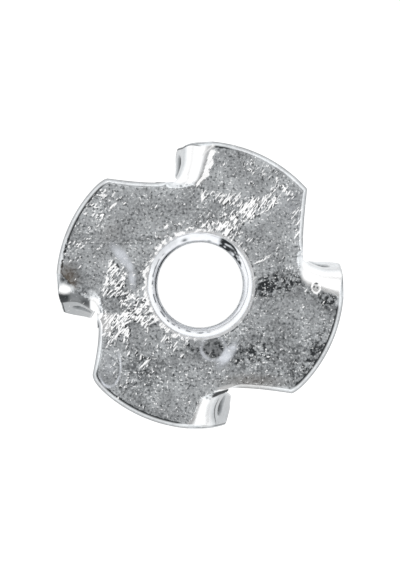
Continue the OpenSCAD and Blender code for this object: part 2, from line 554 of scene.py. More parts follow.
def blade_side(q, p, edge, sign):
    """Rows down a side: the edge's profile, with its rounding scaled to the radius given."""
    inset = edge_in[None] * edge[:, None] * sign
    scale = np.minimum(edge / EDGE_R, 1)[:, None]
    deep = np.where(edge_deep[None] < SHEET / 2, edge_deep[None] * scale, edge_deep[None])
    return np.stack([q[:, None] + inset, np.broadcast_to(p[:, None], inset.shape), deep], -1)


def prong_rings(prong):
    """Flat points of every section of a prong after its first, as rows of the net. The rounding
    of the edges changes along the prong, and the tip is thinned a little."""
    sides = prong_sides(prong)
    inner_q, inner_p, outer_q, outer_p = sides
    room = (outer_q - inner_q) / 2.4
    outer_edge = np.minimum(0.38 - 0.30 * ease(0.0, 0.22, LENGTHS), room)
    inner_edge = np.minimum(0.02 + 0.2 * ease(0.0, 0.12, LENGTHS), room)
    lower_edge = BURR_R * np.minimum(inner_edge / 0.1, 1)
    loop = np.concatenate([
        blade_face(sides, outer_edge, inner_edge, 0.0),
        blade_side(inner_q, inner_p, inner_edge, 1.0),
        blade_face(sides, np.full_like(room, BURR_R), lower_edge, SHEET)[:, ::-1],
        blade_side(outer_q, outer_p, outer_edge, -1.0)[:, ::-1],
    ], 1)
    thin = 1 - THINNED * ease(0.9, 1.0, LENGTHS)
    loop[..., 2] = SHEET / 2 + (loop[..., 2] - SHEET / 2) * thin[:, None]
    return loop


print("vertices round a section:", prong_rings(PRONGS[0]).shape[1])


# %% The dimple in a prong's outer face, which grips the wood
DIMPLE_DEPTH = 0.5


def add_dimple(loop, prong):
    """Sinks an oval hollow in the outer face: a depth times 1 less the squared distance from its
    middle, which is measured in half lengths along and across a line that slants down the blade."""
    middle, drop, half_along, half_across, tilt = prong.dimple
    start, radius, arc, angle = fold_shape(middle, prong)
    dq, dp = loop[..., 0] - middle, loop[..., 1] - (start + arc + drop)
    c, s = np.cos(np.radians(tilt)), np.sin(np.radians(tilt))
    along = (c * dq - s * dp) / half_along
    across = (s * dq + c * dp) / half_across
    hollow = np.clip(1 - along ** 2 - across ** 2, 0, 1) * (loop[..., 2] < 0.15)
    loop[..., 2] += DIMPLE_DEPTH * hollow ** 0.8
    return hollow


print("dimples lie", [prong.dimple[1] for prong in PRONGS], "mm below the folds")

# %% Prongs joined to the flange
prong_numbers = []
for k, prong in enumerate(PRONGS):
    columns = (k * QUARTER + np.arange(WELD + 1)) % (4 * QUARTER)
    first = np.concatenate([
        top_ring[columns],
        edges[k][:, 0],
        bottom_ring[columns][::-1],
        edges[k - 1][::-1, -1],
    ])
    loop = prong_rings(prong)
    hollow = add_dimple(loop, prong)
    rows = net.add(loop)
    net.grid(np.concatenate([first[None], rows]))
    prong_numbers.append((first, rows, hollow))
print("one prong:", prong_numbers[0][1].size, "vertices")

# %% [markdown]
# ## Marks in the plating
# Plating in a barrel leaves its own marks: shallow knocks where the nuts fell on each other, and
# patches of short scratches that all run the same way. The knocks are real hollows in the mesh. A
# scratch is narrower than the mesh can carry well, so each vertex also keeps how scuffed it is, and
# the material reads that. The same goes for stains, which are broad and have no depth. An image
# could hold all of this too, but then the nut would need to be unwrapped, and it would have seams.
#
# The blank is still flat, so a mark is a plain function of x and y. A point of a prong is still in
# its prong's own frame, and gets its marks further down.

# %% The points of the flat blank
points = np.concatenate(net.points)
x, y, deep = points.T
on_top = deep < 0.02
radial = np.hypot(x, y)
bearing = np.degrees(np.arctan2(y, x))
print("vertices on the top face:", int(on_top.sum()), "of", len(points))


# %% Ripples, spots, strokes and bands
def ripple(x, y, size, seed):
    """Smooth random heights from -1 to 1: random numbers on a lattice, eased between its knots."""
    lattice = np.random.default_rng(seed).uniform(-1, 1, (400, 400))
    u, v = x / size + 200, y / size + 200
    i, j = np.floor(u).astype(int), np.floor(v).astype(int)
    s, t = ease(0, 1, u - i), ease(0, 1, v - j)
    left = lattice[i, j] * (1 - t) + lattice[i, j + 1] * t
    right = lattice[i + 1, j] * (1 - t) + lattice[i + 1, j + 1] * t
    return left * (1 - s) + right * s


def spot(x, y, centre, half, angle=0.0):
    """1 in the middle of an ellipse and 0 at its edge, eased in between."""
    a = np.radians(angle)
    u = (x - centre[0]) * np.cos(a) + (y - centre[1]) * np.sin(a)
    v = (y - centre[1]) * np.cos(a) - (x - centre[0]) * np.sin(a)
    return 1 - ease(0, 1, np.sqrt((u / half[0]) ** 2 + (v / half[1]) ** 2))


def spots(table):
    """Sum of the spots in a table, each times its strength."""
    return sum(strength * spot(x, y, *place) for strength, *place in table)


def stroke(x, y, start, end, width):
    """1 along a straight scratch and 0 at its width from the line, tapering to its two ends."""
    start, end = np.array(start), np.array(end)
    run = end - start
    t = np.clip(((x - start[0]) * run[0] + (y - start[1]) * run[1]) / (run @ run), 0, 1)
    off = np.hypot(x - start[0] - t * run[0], y - start[1] - t * run[1])
    return np.clip(1 - off / (width * (0.35 + 2.6 * t * (1 - t))), 0, 1)


def between(value, rise, fall):
    """1 between two edges and 0 outside them: eased up over one range and down over the other."""
    return ease(*rise, value) * ease(fall[1], fall[0], value)


print("band at 0, 5, 10:", between(np.array([0, 5, 10]), (1, 2), (8, 9)))

# %% [markdown]
# ## Scuffs
# Where another nut slid over this one, it left a patch of short strokes side by side. Each patch
# is a hail of them with a common direction and some spread, and on one side of each stroke lies a
# painted shadow, a darker copy of it. Over all of the face lies a thin sprinkle of short ones.

# %% Where the patches lie
SCUFFED = [  # middle, half size, tilt of the patch, strokes, their direction, length, width
    ((2.3, 6.5), (2.2, 0.38), -8, 60, 60, 0.36, 0.07),
    ((4.4, 5.9), (1.5, 0.50), 30, 46, 52, 0.60, 0.052),
    ((2.9, 5.1), (1.8, 0.55), 38, 44, 50, 0.55, 0.052),
    ((1.2, 5.2), (1.4, 0.60), 20, 30, 50, 0.30, 0.06),
    ((1.6, 4.6), (1.2, 0.30), 10, 20, 50, 0.30, 0.06),
    ((-6.5, 0.3), (0.75, 1.30), -8, 60, 60, 0.34, 0.08),
    ((-5.0, -1.6), (1.20, 1.00), -28, 60, 20, 0.40, 0.08),
    ((-4.1, -2.6), (0.70, 0.70), -28, 30, 35, 0.40, 0.08),
    ((-6.4, -3.3), (0.95, 1.10), 0, 75, 55, 0.36, 0.08),
    ((-8.6, 4.4), (0.80, 3.20), -30, 44, 48, 0.22, 0.06),
    ((-6.8, 6.4), (1.60, 1.20), 30, 18, 48, 0.24, 0.06),
    ((-3.5, -5.6), (3.20, 1.80), 0, 26, 52, 0.26, 0.07),
    ((5.3, 8.3), (2.4, 0.60), -38, 50, 40, 0.22, 0.06),
    ((7.6, 3.6), (0.40, 1.20), 20, 16, 60, 0.30, 0.06),
    ((2.6, 3.9), (1.30, 0.50), -35, 26, 48, 0.24, 0.06),
    ((0.0, 4.6), (2.8, 0.30), 0, 50, 48, 0.18, 0.055),
    ((0.0, 0.0), (9.50, 9.50), 0, 420, 47, 0.15, 0.05),
]
print("strokes in all:", sum(patch[3] for patch in SCUFFED))

# %% The hail of strokes, and the painted shadow beside each
SPREAD = 24                  # degrees by which the strokes of a patch differ in direction
LONGER, WIDER = 1.3, 1.25    # drawn longer and wider than they are, so that they show
SHADE_OFF = 1.3              # how far off the painted shadow lies, in widths of its stroke
dice = np.random.default_rng(7)
top_x, top_y = x[on_top], y[on_top]
top_scuff, top_scratch_shade = np.zeros(top_x.size), np.zeros(top_x.size)
for middle, half, tilt, count, direction, length, width in SCUFFED:
    spread = dice.uniform(-1, 1, (count, 2)) * half
    a = np.radians(tilt)
    centres = np.array(middle) + spread @ np.array([[np.cos(a), np.sin(a)], [-np.sin(a), np.cos(a)]])
    ways = np.radians(direction + dice.normal(0, SPREAD, count))
    halves = LONGER * length * dice.uniform(0.3, 1.7, count) / 2
    widths = WIDER * width * dice.uniform(0.6, 1.6, count)
    for centre, way, half_run, wide in zip(centres, ways, halves, widths):
        step = half_run * np.array([np.cos(way), np.sin(way)])
        beside = SHADE_OFF * wide * np.array([np.sin(way), -np.cos(way)])
        ridge = stroke(top_x, top_y, centre - step, centre + step, wide)
        # the groove is a painted shadow stroke beside the scratch
        groove = stroke(top_x, top_y, centre - step + beside, centre + step + beside, wide)
        top_scuff = np.maximum(top_scuff, ridge)
        top_scratch_shade = np.maximum(top_scratch_shade, groove)
print("scuffed share of the top:", round(float((top_scuff > 0.3).mean()), 3))

# %% Single scratches
SCRATCHES = [  # start, end, width
    ((4.45, 5.24), (7.35, 8.14), 0.07), ((6.2, 8.9), (7.35, 7.83), 0.06),
    ((6.59, 5.32), (7.75, 5.75), 0.09), ((6.9, 5.0), (7.4, 5.5), 0.07),
    ((7.35, 4.18), (7.80, 3.41), 0.10), ((7.55, 4.4), (7.75, 3.6), 0.08),
    ((4.15, 1.62), (5.30, 2.15), 0.13), ((4.6, 1.95), (5.37, 2.3), 0.09),
    ((-6.85, 5.85), (-6.35, 6.25), 0.22), ((-6.7, 6.75), (-6.45, 7.05), 0.12),
    ((-8.3, 5.2), (-8.0, 5.5), 0.12), ((-2.95, -4.35), (-2.65, -3.85), 0.20),
    ((-2.0, -4.85), (-1.75, -4.3), 0.18), ((-4.6, -6.35), (-3.8, -5.65), 0.17),
    ((-4.75, -7.25), (-4.4, -6.95), 0.11), ((-6.75, 1.25), (-6.4, 1.6), 0.2),
    ((-9.35, 1.25), (-9.05, 1.5), 0.11), ((-8.75, 3.1), (-8.6, 3.35), 0.10),
]
for start, end, width in SCRATCHES:
    top_scuff = np.maximum(top_scuff, stroke(top_x, top_y, start, end, width))
scuff, scratch_shade = np.zeros(len(points)), np.zeros(len(points))
scuff[on_top] = top_scuff
scratch_shade[on_top] = top_scratch_shade
print("with single scratches:", round(float((top_scuff > 0.3).mean()), 3))

# %% [markdown]
# ## Stains
# Zinc goes dull and grey where rinse water and air have worked on it. These stains are broad and
# soft, so each is a sum of spots. Two of them have a shape of their own: a round blot under the
# mouth with a pale ring about it, and the outline of a drop that dried on the lower left.

# %% Dark tarnish on the top face
TARNISH = [  # strength, middle, half size, tilt
    (0.8, (5.9, 0.2), (2.7, 2.2), -10),
    (0.75, (4.9, -0.3), (1.0, 1.3), 0),
    (0.5, (7.3, 0.3), (1.5, 1.2), 30),
    (0.7, (9.6, -1.1), (1.4, 1.1), 0),
    (0.2, (8.0, 0.4), (1.5, 1.5), 0),
    (0.45, (6.6, -5.0), (5.0, 4.4), 0),
    (0.56, (-4.4, -6.6), (4.6, 3.8), 0),
    (0.35, (1.6, -5.4), (2.6, 2.2), 0),
    (0.25, (-5.4, -1.2), (2.2, 2.8), 0),
    (0.5, (3.5, -5.2), (3.2, 2.4), 0),
    (0.7, (9.8, -1.0), (0.9, 0.8), 0),
    (0.6, (-0.4, -5.0), (1.4, 0.9), 0),
    (0.15, (-4.6, -8.8), (4.0, 1.2), -28),
    (0.5, (-9.6, 0.9), (1.0, 1.6), 0),
    (0.6, (-4.4, 3.4), (2.4, 0.5), 12),
]
EVERYWHERE = 0.06
BLOT = (1.02, -4.82)
from_blot = np.hypot(x - BLOT[0], y - BLOT[1])
blot = ease(0.85, 0.6, from_blot)
tarnish_and_shade = EVERYWHERE + spots(TARNISH) + 0.5 * blot + 0.9 * scratch_shade
tarnish_and_shade += 0.42 * ease(8.6, 10.4, radial) * between(bearing, (-54, -44), (-14, -4))
near_rim = between(bearing, (-142, -134), (-104, -94)) + ease(134, 142, bearing)
tarnish_and_shade += 0.2 * ease(10.0, 10.5, radial) * near_rim
print("mean tarnish:", round(float(tarnish_and_shade[on_top].mean()), 3))

# %% Pale bloom and warm tint on the top face
BLOOM = [  # strength, middle, half size, tilt
    (2.2, (-6.0, 2.2), (0.6, 1.7), 38),
    (1.4, (-5.2, 0.7), (0.45, 1.5), 5),
    (0.35, (-6.9, -6.1), (1.0, 2.0), 0),
    (2.0, (2.1, -5.35), (0.6, 1.7), -38),
    (0.35, (7.0, 5.8), (1.6, 2.6), 0),
]
WARM = [
    (0.8, (3.9, -7.4), (3.6, 0.9), 0),
    (0.9, (-10.1, 0.5), (1.3, 1.7), 0),
    (0.3, (-6.9, 4.1), (1.4, 1.4), 0),
]
DROP, DROP_HALF = (-6.9, -6.2), (0.85, 1.55)
from_drop = np.hypot((x - DROP[0]) / DROP_HALF[0], (y - DROP[1]) / DROP_HALF[1])
drop_side = np.cos(np.arctan2(y - DROP[1], x - DROP[0]) + 0.7)
blot_side = np.cos(np.arctan2(y - BLOT[1], x - BLOT[0]) + 2.2)
drop_line = 1.2 * ease(0.12, 0.02, np.abs(from_drop - 1)) * ease(-0.6, 0.4, drop_side)
blot_ring = 0.9 * ease(0.2, 0.05, np.abs(from_blot - 0.92)) * (0.5 + 0.5 * ease(-0.5, 0.5, blot_side))
pale_marks = on_top * (spots(BLOOM) + drop_line + blot_ring)
bloom_and_sheen = pale_marks.copy()
warm = spots(WARM)
print("mean bloom and warmth:", [round(float(v[on_top].mean()), 3) for v in (bloom_and_sheen, warm)])

# %% [markdown]
# ## Burnished places and painted highlights
# Edges and bends are rubbed smooth, by the punch and then by the other nuts. There the grain of the
# plating is gone, so two more values are kept: how burnished a point is, and how much painted
# highlight it gets, which stands in for the shine. The colour darkens down the edge, most on its
# broken part, and along some stretches a line of painted shade lies where the rounding meets the face.

# %% The edge, from its rounding down to its broken part
SHEAR = np.array([0.0, 0.1, 0.35, 0.7, 0.9, 0.7, 0.7, 0.7])    # dullness down the edge
RIM_SHADE = [  # bearings between which the dark line lies: it rises, it falls
    ((132, 136), (178, 182)),
    ((-143, -139), (-100, -96)),
    ((-49, -45), (-10, -7)),
    ((74, 80), (91, 94)),
]
burnish, bright = np.zeros(len(points)), np.zeros(len(points))
rim_line = sum(between(bearing, rise, fall) for rise, fall in RIM_SHADE)
from_slit = ease(3, 16, np.arange(NOTCH + RIM + 1))
burnish[on_top] = 0.5 * blot[on_top]
burnish[top_ring] = 1.0
tarnish_and_shade[top_ring] = 1.7 * rim_line[top_ring]
for e in edges:
    tarnish_and_shade[e] = SHEAR[:, None] * from_slit
    tarnish_and_shade[e[0]] += 0.7 * rim_line[e[0]]
    burnish[e] = 1.0
    # a faint painted highlight along the edge's rounding
    bright[e[:3]] = 0.15
print("burnished points so far:", int((burnish > 0.9).sum()))

# %% [markdown]
# ## The mouth
# The mouth is the smoothest part of the nut, because the tap and the bolt polish it. Seen from
# above it is a bright ring with a few dark reflections in it: a crescent on the right, two glints
# at the top, a fine seam where the thread begins and a hairline round the opening. The bright
# ring, its white glints and the dark reflections are all painted, because the sharp light that
# would make them would also put hard shadows all over the flange.

# %% Bright ring: a painted highlight with a painted pale sheen, up into the top of the bore
upper_bore = bore[-18:]
inside_mouth = ease(3.8, 3.45, radial[mouth])
burnish[mouth] = 1.0
bloom_and_sheen[mouth] = 0.7 + 1.0 * inside_mouth
bright[mouth] = 0.35 + 0.3 * inside_mouth
bloom_and_sheen[upper_bore] = 2.0
bright[upper_bore] = 0.4
burnish[upper_bore] = 0.8
print("mouth, brightness:", bright[mouth].min().round(2), "to", bright[mouth].max().round(2))

# %% Dark reflections
on_arc = 3.6 * np.radians(bearing)      # distance round the mouth
crescent_out = 3.52 + 0.45 * ease(24, 54, bearing)
crescent = 1.5 * between(bearing, (19, 28), (60, 70))
crescent *= ease(crescent_out + 0.05, crescent_out - 0.05, radial)
crescent *= np.clip(0.75 + 0.7 * ripple(on_arc, 3 * radial, 0.3, 34), 0, 1)
glint = 0.9 * spot(bearing, radial, (78, 3.42), (6, 0.16))
glint += 0.9 * spot(bearing, radial, (109, 3.6), (8, 0.25))
glint += 0.35 * between(bearing, (112, 122), (150, 168))
seam_r = 3.63 + 0.05 * ripple(bearing, radial, 6.0, 32)
seam = ease(0.09, 0.02, np.abs(radial - seam_r)) * ease(-0.5, 0.1, ripple(bearing, radial, 4.0, 33))
seam *= np.clip(ease(115, 150, bearing) + ease(-60, -90, bearing), 0, 1)
left_side = np.clip(ease(110, 150, bearing) + ease(-40, -80, bearing), 0, 1)
opening = ease(3.47, 3.40, radial) * (0.5 + 0.5 * left_side)
shadow = np.maximum.reduce([crescent, glint, 0.9 * seam, 1.1 * opening])
shadow = np.clip(shadow, 0, 1.3)[mouth]
print("dark share of the mouth:", round(float((shadow > 0.5).mean()), 3))

# %% Painted white glints, and a painted bright line at the ring's outer edge
white_glint = spot(bearing, radial, (70, 3.5), (5, 0.3)) + spot(bearing, radial, (93, 3.5), (11, 0.3))
crisp = ease(0.07, 0.02, np.abs(radial - 4.09))
shine = np.maximum(white_glint, crisp)[mouth]
tarnish_and_shade[mouth] = 1.3 * shadow
bloom_and_sheen[mouth] = bloom_and_sheen[mouth] * np.clip(1 - shadow, 0, 1) + pale_marks[mouth]
bright[mouth] = np.maximum(bright[mouth], shine) * np.clip(1 - 1.3 * shadow, 0, 1)
# a painted dark line just outside the ring, from the bottom round to the right
tarnish_and_shade[inner_rings[0]] += 0.9 * between(bearing, (-115, -95), (55, 75))[inner_rings[0]]
print("mouth, brightness:", bright[mouth].min().round(2), "to", bright[mouth].max().round(2))

# %% Barrel and underside: drawing leaves streaks that run down the barrel
streaks = ripple(barrel_r.mean() * np.arctan2(y, x), 0.15 * deep, 0.35, 35)
burnish[barrel] = 0.6
burnish[under] = 0.5
tarnish_and_shade[barrel] = (0.38 + 0.3 * streaks)[barrel]
tarnish_and_shade[under] = 0.35
print("barrel, tarnish:", tarnish_and_shade[barrel].min().round(2), "to", tarnish_and_shade[barrel].max().round(2))

# %% [markdown]
# ## Painted light on the folds
# A fold is stretched on its outside and pressed by the punch. It gets a painted highlight over its
# outside, painted shade down its round, and the blade below gets a greyer painted shade still.
# Each prong has its own amounts of them.
#
# - `bright`, `soft`: strength of the fold's painted highlight, and where past its start it fades in
# - `bright_end`: how far before the fold's end the painted highlight starts to fade out
# - `dull`, `round_shade_from`: how dark the painted shade down the round gets, and how far before the
#   fold's end that starts
# - `blade`: how dark the blade's painted shade is
# - `lens`: how dark the dimple's painted shade is
# - `rim`: how dark the painted shade along the blade's outer edge is
# - `strip`: how strong the pale ragged strip beside the fold is

# %% Painted highlight and shade of each prong
FOLD_PAINT = [
    SimpleNamespace(bright=1.0, soft=(-0.15, 0.45), bright_end=-1.4, dull=0.15, round_shade_from=-1.3,
                    blade=0.15, lens=1.7, rim=0.25, strip=0.0),
    SimpleNamespace(bright=0.95, soft=(-0.35, 0.10), bright_end=-1.4, dull=0.42, round_shade_from=-1.3,
                    blade=0.36, lens=1.5, rim=0.9, strip=1.0),
    SimpleNamespace(bright=0.0, soft=(-0.15, 0.45), bright_end=-1.4, dull=1.1, round_shade_from=-1.3,
                    blade=0.68, lens=0.5, rim=0.8, strip=0.0),
    SimpleNamespace(bright=0.8, soft=(0.05, 0.22), bright_end=-1.9, dull=0.48, round_shade_from=-1.7,
                    blade=0.52, lens=0.9, rim=0.5, strip=0.0),
]
ragged = 0.10 * ripple(x, y, 0.25, 21) + 0.12 * ripple(x, y, 0.13, 22)
print("brightness of the folds:", [finish.bright for finish in FOLD_PAINT])


# %% Where every point lies from a prong's fold
def seen_from(k):
    """The points in a prong's own frame, with two distances down the sheet: `past` the start of
    the fold, and `below` its end. A prong's own points are already in its frame."""
    first, rows, hollow = prong_numbers[k]
    side_on = rotate(points, -k * np.pi / 2)
    side_on[rows.ravel()] = points[rows.ravel()]
    q, p = side_on[:, 0], side_on[:, 1]
    start, radius, arc, _ = fold_shape(q, PRONGS[k])
    face = rows[:, :WELD + 1]
    near = (np.abs(p) < 3.6) & (q > 6.8) & on_top
    return SimpleNamespace(
        q=q, p=p, past=p - start, below=p - start - arc, near=near,
        grip=flange_grip(q, p, PRONGS[k]), finish=FOLD_PAINT[k], first=first, seam=first[:WELD + 1],
        rows=rows, face=face, hollow=hollow,
        all_over=(np.flatnonzero(near), face.ravel(), first[:WELD + 1]))


sides = [seen_from(k) for k in range(4)]
print("points round each fold:", [int(side.near.sum()) for side in sides])


# %% The round of the fold, on the flange
def paint_fold(side):
    """Paints a highlight on the flange as it goes over the fold, lays a pale ragged strip beside it
    with painted shade just past that, and paints shade on the round further down. Sets how much
    painted shade each point gets, for the blade as well."""
    q, past, below, near, finish = side.q, side.past, side.below, side.near, side.finish
    bend = side.grip * ease(*finish.soft, past + 0.6 * ragged)
    from_bend = past - ease(8.6, 7.6, q) * 0.3
    strip = ease(-0.08, 0.06, from_bend + 0.29 + ragged) * ease(0.18, 0.10, from_bend)
    strip *= between(q, (7.3, 7.8), (10.2, 10.45)) * finish.strip
    beside = finish.strip * between(from_bend, (0.06, 0.18), (0.35, 0.75))
    root_spot = np.minimum(1.5 * spot(q, side.p, (8.0, 2.3), (0.75, 1.5)), 1)
    side.dulled = finish.dull * ease(finish.round_shade_from, -0.1, below) + 0.15 * beside
    side.dulled += (finish.blade - finish.dull) * ease(-0.1, 0.15, below)
    side.fading = ease(-0.2, finish.bright_end, below)
    burnish[near] = np.maximum.reduce([burnish, ease(0.0, 0.5, bend), root_spot])[near]
    bright[near] = np.maximum(bright, finish.bright * ease(0.05, 0.7, bend))[near]
    bright[near] *= (side.fading * (1 - 0.4 * beside))[near]
    scuff[near] = np.maximum(scuff, 0.95 * strip)[near]
    tarnish_and_shade[near] = np.maximum(tarnish_and_shade, side.dulled * side.grip)[near]


for side in sides:
    paint_fold(side)
print("brightest point of each fold:", [bright[side.near].max().round(2) for side in sides])


# %% The blades and their edges
def paint_blade(side):
    """Paints shade on a blade, in its dimple and along its edges, from the fold down to the tip, and
    carries the fold's painted highlight down onto it.
    """
    rows, first, finish = side.rows, side.first, side.finish
    # painted shade down the blade's two sides
    line = np.array([0.1, 0.5, 0.9, 0.9, 0.8, 0.6, 0.6, 0.6])
    # painted shade along the blade's outer edge
    rim = finish.rim * ease(0.04, 0.14, LENGTHS)[:, None]
    # painted shade in the dimple, over the painted shade of the blade
    tarnish_and_shade[rows] = finish.lens * side.hollow ** 0.7 + side.dulled[rows]
    tarnish_and_shade[rows[:, :2]] += rim
    tarnish_and_shade[rows[:, WELD + 1:WELD + 9]] = line * ease(0.02, 0.2, LENGTHS)[:, None]
    tarnish_and_shade[rows[:, -8:]] = line[::-1] * (0.35 + 0.65 * ease(0.02, 0.15, LENGTHS))[:, None]
    burnish[rows] = 1.0
    burnish[first] = 1.0
    bright[rows] = finish.bright * side.fading[rows] * (1 - side.hollow)
    bright[rows[:, WELD + 3:]] = 0.0
    bright[rows[:, :2]] *= 1 - rim
    bright[side.seam] = finish.bright * side.fading[side.seam]


for side in sides:
    paint_blade(side)
print("mean tarnish of each blade:", [tarnish_and_shade[side.face].mean().round(2) for side in sides])


# %% The left prong: painted shade over its round, one painted highlight and a painted highlight at its root
def paint_dark_fold(side):
    """Lays a band of painted shade over the round and a soft cloud of painted shade before it, then
    cuts a painted highlight and a painted highlight at the root of the slit out of both."""
    q, p, below, past = side.q, side.p, side.below, side.past
    highlight = spot(q, p, (10.35, 0.38), (0.75, 0.62))
    deeper = 0.8 + 0.6 * ease(9.7, 10.6, q) + 0.25 * spot(q, p, (8.8, 1.7), (0.7, 0.9))
    band = ease(-1.75, -1.25, below) * ease(0.05, -0.1, below) * deeper
    cloud_shade = 1.15 * spot(q, p, (9.9, -0.6), (1.8, 1.8)) + 0.9 * spot(q, p, (8.9, 0.6), (1.2, 1.0))
    root_highlight = ease(8.48, 8.28, q) * ease(0.8, 1.25, p) * ease(0.3, -0.1, below)
    held = np.maximum(side.grip, p > SLIT_P)
    shaded = np.maximum(cloud_shade, 1.15 * band) * (1 - root_highlight) * ease(0.0, 0.3, held)
    rubbed = np.where(below < -1.3, 0.35, 1.0) * ease(-0.3, 0.0, past) * ease(0.1, 0.5, held)
    rubbed = np.maximum(rubbed, 0.7 * np.clip(cloud_shade, 0, 1))
    shine = np.maximum(np.clip(1.6 * highlight, 0, 1), 0.9 * root_highlight * ease(0.1, 0.5, held))
    for at in side.all_over:
        darker = np.maximum(tarnish_and_shade * (1 - root_highlight), shaded)
        tarnish_and_shade[at] = (np.where(below < 0, darker, tarnish_and_shade) * (1 - highlight))[at]
        burnish[at] = rubbed[at]
        bright[at] = shine[at]


paint_dark_fold(sides[2])
print("left prong, darkest:", tarnish_and_shade[sides[2].near].max().round(2))


# %% The lower prong: its slit tore, and the lip gets a painted highlight and the wedge beside it a painted shadow
def paint_torn_root(side):
    """Takes the painted highlight and most of the burnish off the fold's inner end, and paints a
    highlight along the lip of the tear, a shadow in the wedge beside it and a thin line of shade
    where the blade begins."""
    q, p, below, face = side.q, side.p, side.below, side.face
    lip_way = q + 0.28 * (p - 1.1) - 8.06
    lip_highlight = ease(0.20, 0.10, np.abs(lip_way)) * between(p, (1.1, 1.6), (2.3, 2.9))
    wedge_shadow = between(lip_way, (0.12, 0.20), (0.48, 0.62)) * ease(0.75, 1.15, p) * ease(0.5, -0.3, below)
    bare = ease(8.85, 8.65, q + ragged) * ease(1.2, 0.8, p)
    for at in side.all_over:
        bright[at] = np.maximum(bright * (1 - bare) * (1 - wedge_shadow), lip_highlight)[at]
        burnish[at] *= (1 - 0.8 * bare)[at]
        tarnish_and_shade[at] = np.maximum(tarnish_and_shade * (1 - lip_highlight), 1.4 * wedge_shadow)[at]
    # a line of painted shade where the blade begins
    line = np.clip(2 * spot(q, below, (9.6, -0.12), (1.8, 0.22)), 0, 1)
    tarnish_and_shade[face] = np.maximum(tarnish_and_shade, 1.2 * line)[face]
    bright[face] *= 1 - line[face]


paint_torn_root(sides[3])
print("lower prong, brightest:", bright[sides[3].near].max().round(2))

# %% [markdown]
# ## Wear round the mouth and a dent
# The bolt's washer rubs the flange just outside the mouth, more on one side than on the other, and
# leaves a ragged pale ring. On the right fold another nut's edge has left one small dent, drawn as
# a scuffed pale ring round a painted highlight, with a few dark nicks inside it.

# %% Worn ring, dent and nicks
one_side = 0.35 + 0.65 * ease(-0.4, 0.4, np.cos(np.radians(bearing - 170)))
worn = ease(0.34, 0.10, np.abs(radial - MOUTH_OUT - 0.08)) * one_side
worn *= ease(-0.3, 0.5, ripple(x, y, 0.2, 11) + 0.2)
dent = np.hypot((x - 8.85) / 0.36, (y + 0.17) / 0.48)
nicks = spot(x, y, (8.87, 0.12), (0.24, 0.12)) + spot(x, y, (8.71, -0.14), (0.13, 0.17))
nicks = np.clip(2 * (nicks + spot(x, y, (8.96, -0.2), (0.12, 0.16))), 0, 1) * on_top
dent_ring = ease(0.22, 0.08, np.abs(dent - 0.9))
scuff = np.maximum(scuff, 0.9 * np.maximum(worn, dent_ring) * on_top) * (1 - nicks)
bright = np.maximum(bright, ease(1.15, 0.95, dent) * on_top) * (1 - nicks)
tarnish_and_shade += 1.6 * nicks
print("nicked points:", int((nicks > 0.5).sum()))

# %% [markdown]
# ## Knocks
# The marks so far only change how the plating looks. The knocks are real: the top face is sunk by
# a few hundredths of a millimetre in soft waves, and a little more at each blow. They only ever
# sink, so the nut stays inside its size. Without them a flat face would reflect one flat tone.

# %% Knocks pressed into the top face
SINK = 0.0162         # so that the waves stay below the flat face
WAVES = [  # height, size and seed
    (0.010, 2.6, 1),
    (0.004, 0.9, 2),
    (0.0022, 0.4, 3),
]
BLOWS = 130
BLOWS_OVER = (16, 118)    # squares of how far out they land, so that they lie evenly
SCRATCH_DEPTH = 0.006
knocks = SINK + sum(height * ripple(x, y, size, seed) for height, size, seed in WAVES)
knocks *= ease(MOUTH_OUT - 0.3, MOUTH_OUT + 0.8, radial)
for _ in range(BLOWS):
    out = np.sqrt(dice.uniform(*BLOWS_OVER))
    turn = dice.uniform(0, 2 * np.pi)
    size = dice.uniform(0.12, 0.42)
    sunk = dice.uniform(0.004, 0.016)
    knocks += sunk * spot(x, y, (out * np.cos(turn), out * np.sin(turn)), (size, size * 0.7), 45)
points[:, 2] += np.where(deep < 0.5, knocks + SCRATCH_DEPTH * scuff * on_top, 0.0)
print("deepest knock, mm:", round(float(knocks.max()), 3))

# %% [markdown]
# ## Folding the blank
# The blank is complete, and every point of it knows where it lies in the flat sheet. Now each
# quarter is turned so that its prong lies on X, folded, and turned back.

# %% Every point in its folded place
BEFORE = 25    # degrees by which a quarter of the flange starts before its prong
owner = np.full(len(points), -1)
for k, (first, rows, hollow) in enumerate(prong_numbers):
    owner[rows.ravel()] = k
placed = points.copy()
for k, prong in enumerate(PRONGS):
    back = -k * np.pi / 2
    on_flange = (owner < 0) & (np.mod(bearing - 90 * k + BEFORE, 360) < 90)
    local = rotate(points[on_flange], back)
    placed[on_flange] = rotate(press(local, prong, flange_grip), -back)
    on_prong = owner == k
    placed[on_prong] = rotate(press(points[on_prong], prong, prong_grip), -back)
print("folded box, mm:", placed.min(0).round(2), placed.max(0).round(2))

# %% [markdown]
# ## One skin
# The real nut is one piece of steel, so it is one closed mesh. The last section of each prong is
# closed with a single face, turned so that it looks out of the tip. The marks go with the mesh as
# attributes, one number to a vertex, and the piece takes the CAD solid's place.

# %% The mesh of the whole nut
tips = [rows[-1, ::-1].tolist() for _, rows, _ in prong_numbers]
faces = [*np.concatenate(net.quads).tolist(), *np.concatenate(net.triangles).tolist(), *tips]
mesh = bpy.data.meshes.new("tee_nut_skin")
mesh.from_pydata((placed * MM).tolist(), [], faces)
mesh.update()
mesh.shade_smooth()
nut = bpy.data.objects.new("stamped_tee_nut", mesh)
bpy.context.scene.collection.objects.link(nut)
triangles = sum(len(p.vertices) - 2 for p in mesh.polygons)
print("skin:", len(mesh.vertices), "vertices,", triangles, "triangles")

